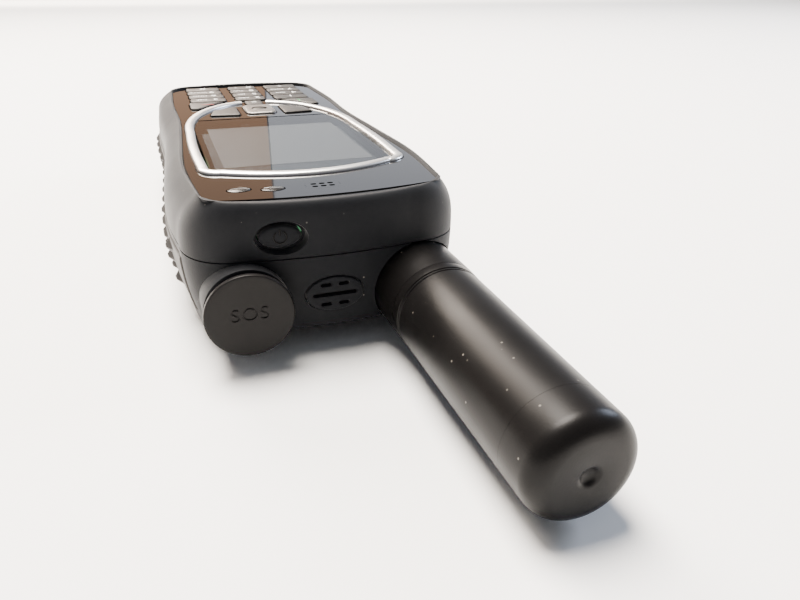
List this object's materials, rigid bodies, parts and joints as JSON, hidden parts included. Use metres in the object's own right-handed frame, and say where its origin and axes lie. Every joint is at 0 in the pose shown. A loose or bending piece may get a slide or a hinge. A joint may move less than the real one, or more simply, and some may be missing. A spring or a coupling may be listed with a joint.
{
  "type": "satellite phone",
  "caption": "Rugged handheld satellite phone with a pull-out round antenna, hinged emergency cap, framed display and rubber-backed keypad, lying on its back.",
  "frame": {"origin": "centre of the battery's flat back, half way along the body", "axes": "+X to the right as seen from the top end looking along the phone, which is the phone's own left-hand side when it is held upright; +Y from the top end with the antenna towards the bottom end; +Z out of the display"},
  "size_m": [0.0628, 0.201, 0.033],
  "materials": {
    "body_rubber": "matte soft-touch coating over polycarbonate",
    "face_gloss": "polished black",
    "bezel_silver": "satin plated",
    "display_glass": "polished clear window",
    "display_dark": "grey display film in a black frame",
    "led_lens": "clear moulded lens",
    "mesh_black": "fine matte black",
    "module_steel": "bare sheet metal",
    "grip_rubber": "matte moulded",
    "key_grey": "painted metallic grey",
    "antenna_black": "satin black",
    "antenna_core": "moulded, with a printed conductor",
    "cap_black": "satin black",
    "pin_steel": "machined",
    "contact_gold": "gold flash",
    "board_green": "solder-masked laminate"
  },
  "bodies": {
    "phone": {"front_housing": "body_rubber", "rear_housing": "body_rubber", "face_plate": "face_gloss", "bezel_ring": "bezel_silver", "display_window": "display_glass", "lcd_module": "display_dark", "led_left": "led_lens", "led_right": "led_lens", "earpiece_grille": "mesh_black", "earpiece_receiver": "module_steel", "grip_left": "grip_rubber", "grip_right": "grip_rubber", "speaker_grille": "mesh_black", "loudspeaker": "mesh_black", "power_switch": "module_steel", "sos_switch": "module_steel", "sos_hinge_pin": "pin_steel", "keypad_mat": "grip_rubber", "keypad_board": "board_green", "main_board": "board_green", "lower_shield": "module_steel", "microphone": "module_steel", "battery_contacts": "contact_gold", "data_connector": "module_steel", "screw_1": "pin_steel", "screw_2": "pin_steel", "screw_3": "pin_steel", "screw_4": "pin_steel"},
    "antenna": {"antenna_boot": "antenna_black", "antenna_tube": "antenna_black", "antenna_tip": "antenna_black", "antenna_mast": "antenna_core", "antenna_element": "antenna_core"},
    "emergency_cap": {"sos_cap": "cap_black"},
    "emergency_button": {"sos_button": "grip_rubber"},
    "power": {"power_button": "body_rubber"},
    "battery": {"battery_pack": "body_rubber"},
    "latch": {"battery_latch": "grip_rubber"},
    "cover": {"connector_cover": "grip_rubber"},
    "volume_up": {"volume_up_key": "grip_rubber"},
    "volume_down": {"volume_down_key": "grip_rubber"},
    "soft_key_left_body": {"soft_key_left": "key_grey"},
    "soft_key_right_body": {"soft_key_right": "key_grey"},
    "menu_key_body": {"menu_key": "key_grey"},
    "end_key_body": {"end_key": "key_grey"},
    "call_key_body": {"call_key": "key_grey"},
    "key_1_body": {"key_1": "key_grey"},
    "key_2_body": {"key_2": "key_grey"},
    "key_3_body": {"key_3": "key_grey"},
    "key_4_body": {"key_4": "key_grey"},
    "key_5_body": {"key_5": "key_grey"},
    "key_6_body": {"key_6": "key_grey"},
    "key_7_body": {"key_7": "key_grey"},
    "key_8_body": {"key_8": "key_grey"},
    "key_9_body": {"key_9": "key_grey"},
    "key_star_body": {"key_star": "key_grey"},
    "key_0_body": {"key_0": "key_grey"},
    "key_hash_body": {"key_hash": "key_grey"},
    "d_pad_body": {"d_pad": "bezel_silver"},
    "centre_key_body": {"centre_key": "key_grey"}
  },
  "joints": [
    {"name": "antenna_slide", "type": "slide", "parent": "phone", "child": "antenna", "axis": [-0.0297, 0.9996, 0], "range_m": [0, 0.036]},
    {"name": "emergency_cap_hinge", "type": "hinge", "parent": "phone", "child": "emergency_cap", "pos_m": [-0.0179, -0.0732, 0.00345], "axis": [1, 0, 0], "range_deg": [0, 95]},
    {"name": "emergency_button_press", "type": "slide", "parent": "phone", "child": "emergency_button", "axis": [0, 1, 0], "range_m": [0, 0.0008], "stiffness_N_per_m": 900, "springref_m": -0.0003},
    {"name": "power_press", "type": "slide", "parent": "phone", "child": "power", "axis": [0, 1, 0], "range_m": [0, 0.0007], "stiffness_N_per_m": 900, "springref_m": -0.0003},
    {"name": "soft_key_left_press", "type": "slide", "parent": "phone", "child": "soft_key_left_body", "axis": [0, -0.0345, -0.9994], "range_m": [0, 0.0005], "stiffness_N_per_m": 900, "springref_m": -0.0003},
    {"name": "soft_key_right_press", "type": "slide", "parent": "phone", "child": "soft_key_right_body", "axis": [0, -0.0345, -0.9994], "range_m": [0, 0.0005], "stiffness_N_per_m": 900, "springref_m": -0.0003},
    {"name": "menu_key_press", "type": "slide", "parent": "phone", "child": "menu_key_body", "axis": [0, -0.0345, -0.9994], "range_m": [0, 0.0005], "stiffness_N_per_m": 900, "springref_m": -0.0003},
    {"name": "end_key_press", "type": "slide", "parent": "phone", "child": "end_key_body", "axis": [0, -0.0345, -0.9994], "range_m": [0, 0.0005], "stiffness_N_per_m": 900, "springref_m": -0.0003},
    {"name": "call_key_press", "type": "slide", "parent": "phone", "child": "call_key_body", "axis": [0, -0.0345, -0.9994], "range_m": [0, 0.0005], "stiffness_N_per_m": 900, "springref_m": -0.0003},
    {"name": "key_1_press", "type": "slide", "parent": "phone", "child": "key_1_body", "axis": [0, -0.0345, -0.9994], "range_m": [0, 0.0005], "stiffness_N_per_m": 900, "springref_m": -0.0003},
    {"name": "key_2_press", "type": "slide", "parent": "phone", "child": "key_2_body", "axis": [0, -0.0345, -0.9994], "range_m": [0, 0.0005], "stiffness_N_per_m": 900, "springref_m": -0.0003},
    {"name": "key_3_press", "type": "slide", "parent": "phone", "child": "key_3_body", "axis": [0, -0.0345, -0.9994], "range_m": [0, 0.0005], "stiffness_N_per_m": 900, "springref_m": -0.0003},
    {"name": "key_4_press", "type": "slide", "parent": "phone", "child": "key_4_body", "axis": [0, -0.0345, -0.9994], "range_m": [0, 0.0005], "stiffness_N_per_m": 900, "springref_m": -0.0003},
    {"name": "key_5_press", "type": "slide", "parent": "phone", "child": "key_5_body", "axis": [0, -0.0345, -0.9994], "range_m": [0, 0.0005], "stiffness_N_per_m": 900, "springref_m": -0.0003},
    {"name": "key_6_press", "type": "slide", "parent": "phone", "child": "key_6_body", "axis": [0, -0.0345, -0.9994], "range_m": [0, 0.0005], "stiffness_N_per_m": 900, "springref_m": -0.0003},
    {"name": "key_7_press", "type": "slide", "parent": "phone", "child": "key_7_body", "axis": [0, -0.0345, -0.9994], "range_m": [0, 0.0005], "stiffness_N_per_m": 900, "springref_m": -0.0003},
    {"name": "key_8_press", "type": "slide", "parent": "phone", "child": "key_8_body", "axis": [0, -0.0345, -0.9994], "range_m": [0, 0.0005], "stiffness_N_per_m": 900, "springref_m": -0.0003},
    {"name": "key_9_press", "type": "slide", "parent": "phone", "child": "key_9_body", "axis": [0, -0.0345, -0.9994], "range_m": [0, 0.0005], "stiffness_N_per_m": 900, "springref_m": -0.0003},
    {"name": "key_star_press", "type": "slide", "parent": "phone", "child": "key_star_body", "axis": [0, -0.0345, -0.9994], "range_m": [0, 0.0005], "stiffness_N_per_m": 900, "springref_m": -0.0003},
    {"name": "key_0_press", "type": "slide", "parent": "phone", "child": "key_0_body", "axis": [0, -0.0345, -0.9994], "range_m": [0, 0.0005], "stiffness_N_per_m": 900, "springref_m": -0.0003},
    {"name": "key_hash_press", "type": "slide", "parent": "phone", "child": "key_hash_body", "axis": [0, -0.0345, -0.9994], "range_m": [0, 0.0005], "stiffness_N_per_m": 900, "springref_m": -0.0003},
    {"name": "d_pad_press", "type": "slide", "parent": "phone", "child": "d_pad_body", "axis": [0, -0.0345, -0.9994], "range_m": [0, 0.0005], "stiffness_N_per_m": 900, "springref_m": -0.0003},
    {"name": "centre_key_press", "type": "slide", "parent": "phone", "child": "centre_key_body", "axis": [0, -0.0345, -0.9994], "range_m": [0, 0.0005], "stiffness_N_per_m": 900, "springref_m": -0.0003},
    {"name": "volume_up_press", "type": "slide", "parent": "phone", "child": "volume_up", "axis": [-1, 0, 0], "range_m": [0, 0.0005], "stiffness_N_per_m": 900, "springref_m": -0.0003},
    {"name": "volume_down_press", "type": "slide", "parent": "phone", "child": "volume_down", "axis": [-1, 0, 0], "range_m": [0, 0.0005], "stiffness_N_per_m": 900, "springref_m": -0.0003},
    {"name": "battery_lift_off", "type": "slide", "parent": "phone", "child": "battery", "axis": [0, 0, -1], "range_m": [0, 0.02]},
    {"name": "battery_latch_slide", "type": "slide", "parent": "phone", "child": "latch", "axis": [0, 1, 0], "range_m": [0, 0.0015]},
    {"name": "connector_cover_hinge", "type": "hinge", "parent": "phone", "child": "cover", "pos_m": [0, 0.06805, 0.01095], "axis": [-1, 0, 0], "range_deg": [0, 95]}
  ]
}
